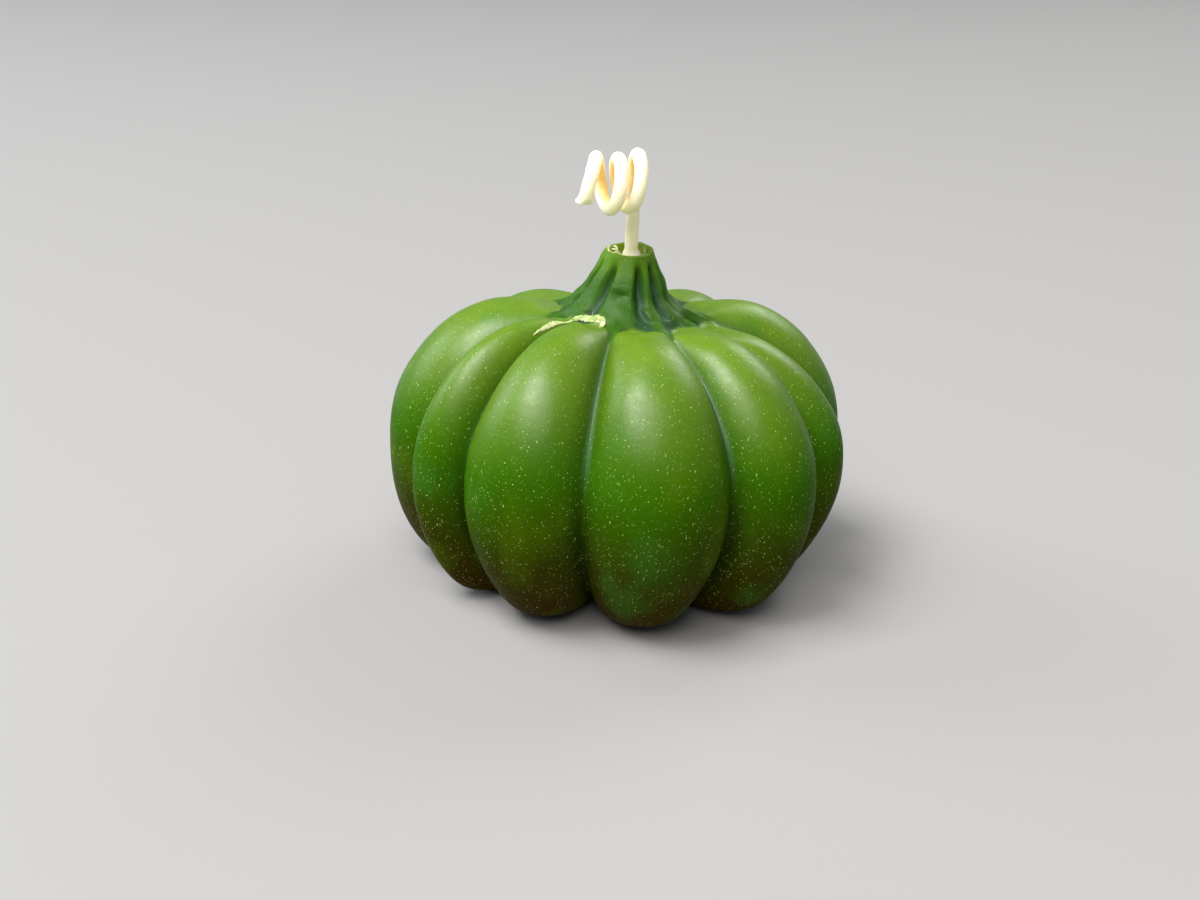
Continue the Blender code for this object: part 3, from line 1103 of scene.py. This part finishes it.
wick_wax = make_wick_wax()
wick = finish_piece(make_wick(), "dipped_wick", wick_wax)
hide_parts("wick")

# %% [markdown]
# ## Torn wax beside the stem
# It looks as if a flap of flash was torn off along one groove. It left a pale ragged strip that
# runs up the groove and round the foot of the stem, with a fringe of burrs at its upper end. Wax is
# pale where it is torn, because tiny cracks scatter the light.

# %% Torn strip
STRIP_ROUTE = (
    # angle, radius and height of the strip's middle line, and half its width there
    (-46.2, 0.0200, 0.0470, 0.00006),
    (-47.3, 0.0174, 0.0478, 0.00040),
    (-48.7, 0.0150, 0.0482, 0.00046),
    (-49.0, 0.0130, 0.0486, 0.00045),
    (-45.0, 0.0119, 0.0489, 0.00052),
    (-39.5, 0.0106, 0.0490, 0.00062),
    (-32.0, 0.0103, 0.0493, 0.00080),
    (-24.0, 0.0108, 0.0493, 0.00075),
    (-17.0, 0.0120, 0.0488, 0.00030),
)
STRIP_STEPS = 150
STRIP_SIDES = 12
STRIP_THICKNESS = 0.00009
STRIP_THINNEST = 0.00003
EDGE_TEAR_SIZE = 0.00045
TEAR_UNEVENNESS = 0.50
BURR_COUNT = 22
BURR_RADIUS = 0.00007
BURR_LENGTHS = (0.0005, 0.0013)
BURR_STEPS = 7
BURR_SIDES = 6
BURR_TAPER = 0.85
WHISKER_AT = 0.74
WHISKER_WAY = Vector((-0.1, 0.2, 0.9))
WHISKER_LIFT = Vector((0.2, 0.0, 0.3))
WHISKER_LENGTH = 0.0012


def skin_frames(points, normals):
    """Frames along a route on the casting: ahead, sideways on the surface, and out of it."""
    frames = []
    for index, normal in enumerate(normals):
        ahead = points[min(index + 1, len(points) - 1)] - points[max(index - 1, 0)]
        ahead.normalize()
        aside = normal.cross(ahead).normalized()
        frames.append((ahead, aside, ahead.cross(aside)))
    return frames


def ragged_ribbon(bm, rows, steps, thickness):
    """A flat strip of uneven width on the casting, along rows of angle, radius, height, half width."""
    spots = [along(rows, step / steps) for step in range(steps + 1)]
    found = [on_skin(angle, radius, height) for angle, radius, height, _ in spots]
    points = [point + normal * 0.2 * thickness for point, normal in found]
    widths = [max(spot[3], STRIP_THINNEST) for spot in spots]

    def offset(index, turn, directions):
        _, aside, out = directions
        reach = math.cos(turn)
        edge = points[index] + aside * widths[index] * (1 if reach > 0 else -1)
        tear = 1 + TEAR_UNEVENNESS * noise.noise(edge / EDGE_TEAR_SIZE)
        swell = 1 + TEAR_UNEVENNESS * noise.noise(edge / (2 * EDGE_TEAR_SIZE) + Vector((9, 0, 0)))
        return aside * reach * widths[index] * tear + out * math.sin(turn) * thickness * swell

    sweep(bm, points, STRIP_SIDES, offset, skin_frames(points, [normal for _, normal in found]))
    return points, [normal for _, normal in found]


def burr(bm, start, direction, lift, length, radius):
    """A tapering splinter of wax that leaves the surface along direction and curls up by lift."""
    points = [
        start + direction * (length * share) + lift * (length * share * share)
        for share in (step / BURR_STEPS for step in range(BURR_STEPS + 1))
    ]

    def offset(index, turn, directions):
        _, across, aside = directions
        taper = radius * (1 - BURR_TAPER * index / BURR_STEPS)
        return (across * math.cos(turn) + aside * math.sin(turn)) * taper

    sweep(bm, points, BURR_SIDES, offset)


def make_torn_strip():
    bm = bmesh.new()
    points, normals = ragged_ribbon(bm, STRIP_ROUTE, STRIP_STEPS, STRIP_THICKNESS)
    draw = random.Random(11)
    for _ in range(BURR_COUNT):
        index = int(len(points) * draw.uniform(0.15, 0.99) ** 0.35) - 1
        ahead = (points[min(index + 1, len(points) - 1)] - points[index - 1]).normalized()
        aside = normals[index].cross(ahead).normalized() * draw.choice((-1, 1))
        direction = (ahead * draw.uniform(0.5, 1.0) + aside * draw.uniform(0.1, 0.7)).normalized()
        lift = normals[index] * draw.uniform(0.05, 0.35)
        start = points[index] + normals[index] * STRIP_THINNEST
        burr(bm, start, direction, lift, draw.uniform(*BURR_LENGTHS), BURR_RADIUS)
    whisker_start = points[int(len(points) * WHISKER_AT)]
    burr(bm, whisker_start, WHISKER_WAY, WHISKER_LIFT, WHISKER_LENGTH, BURR_RADIUS)
    return bm


# %% [markdown]
# ## Scrapings on the rim
# The cup looks scraped clean with a blade. A thin pale crescent is left along the inner edge of
# the rim, with three curls on the left and a splinter on the right.

# %% Scrapings
RIM_CRESCENT = (
    (-128.0, 0.0032, 0.0588, 0.00005),
    (-108.0, 0.0032, 0.0587, 0.00016),
    (-86.0, 0.0032, 0.0586, 0.00021),
    (-62.0, 0.0032, 0.0585, 0.00021),
    (-38.0, 0.0032, 0.0584, 0.00018),
    (-10.0, 0.0032, 0.0583, 0.00014),
    (20.0, 0.0032, 0.0583, 0.00012),
    (52.0, 0.0032, 0.0583, 0.00011),
    (76.0, 0.0032, 0.0583, 0.00005),
)
RIM_CURLS = (
    # each curl's points as angle, radius, height
    ((-112.0, 0.0030, 0.0586), (-100.0, 0.0026, 0.0589), (-84.0, 0.0021, 0.0587), (-66.0, 0.0021, 0.0580)),
    ((-84.0, 0.0030, 0.0585), (-70.0, 0.0026, 0.0586), (-54.0, 0.0022, 0.0582), (-34.0, 0.0020, 0.0577)),
    ((-60.0, 0.0029, 0.0583), (-48.0, 0.0025, 0.0583), (-38.0, 0.0023, 0.0579), (-22.0, 0.0019, 0.0577)),
    ((54.0, 0.0030, 0.0583), (66.0, 0.0029, 0.0585), (76.0, 0.0027, 0.0587), (86.0, 0.0025, 0.0590)),
)
CURL_RADII = (0.00018, 0.00020, 0.00016, 0.00009)
CURL_STEPS = 16
CURL_SIDES = 8
CURL_FLATNESS = 0.6
CURL_UNEVENNESS = 0.5
CURL_BLUNTNESS = 0.12
CRESCENT_THICKNESS = 0.00008


def around_axis(angle, radius, height):
    turn = math.radians(angle)
    return AXIS + Vector((radius * math.sin(turn) + STEM_LEAN, -radius * math.cos(turn), height))


def make_scrapings():
    bm = bmesh.new()
    ragged_ribbon(bm, RIM_CRESCENT, STRIP_STEPS, CRESCENT_THICKNESS)
    for curl, radius in zip(RIM_CURLS, CURL_RADII):
        points = [around_axis(*along(curl, step / CURL_STEPS)) for step in range(CURL_STEPS + 1)]

        def offset(index, turn, directions, points=points, radius=radius):
            _, across, aside = directions
            outward = across * math.cos(turn) + CURL_FLATNESS * aside * math.sin(turn)
            lump = noise.noise((points[index] + outward * radius) / EDGE_TEAR_SIZE)
            taper = math.sin(math.pi * (CURL_BLUNTNESS + 0.80 * index / CURL_STEPS)) ** 0.5
            return outward * radius * taper * (1 + CURL_UNEVENNESS * lump)

        sweep(bm, points, CURL_SIDES, offset)
    return bm


# %% [markdown]
# ## Torn wax
# One pale finish serves the torn strip and the scrapings: cream with a breath of green, dull, and a
# little see-through at its thin edges.

# %% Torn wax
TORN_CREAM = (0.50, 0.51, 0.27, 1.0)
TORN_GREEN = (0.26, 0.38, 0.08, 1.0)


def make_torn_wax():
    material, tree, shader = new_material("torn_wax")
    patches = noise_value(tree, object_place(tree), 1100.0, 3.0)
    colour = colour_mix(tree, ranged(tree, patches, 0.42, 0.62), TORN_CREAM, TORN_GREEN)
    feed(tree, shader.inputs["Base Color"], colour)
    feed(tree, shader.inputs["Normal"], bump(tree, patches, 0.00006, 0.6))
    shader.inputs["Roughness"].default_value = 0.6
    shader.inputs["Subsurface Weight"].default_value = 0.3
    shader.inputs["Subsurface Radius"].default_value = (1.0, 1.0, 0.4)
    shader.inputs["Subsurface Scale"].default_value = 0.0005
    return material


torn_wax = make_torn_wax()
torn_strip = finish_piece(make_torn_strip(), "torn_strip", torn_wax)
scrapings = finish_piece(make_scrapings(), "rim_scrapings", torn_wax)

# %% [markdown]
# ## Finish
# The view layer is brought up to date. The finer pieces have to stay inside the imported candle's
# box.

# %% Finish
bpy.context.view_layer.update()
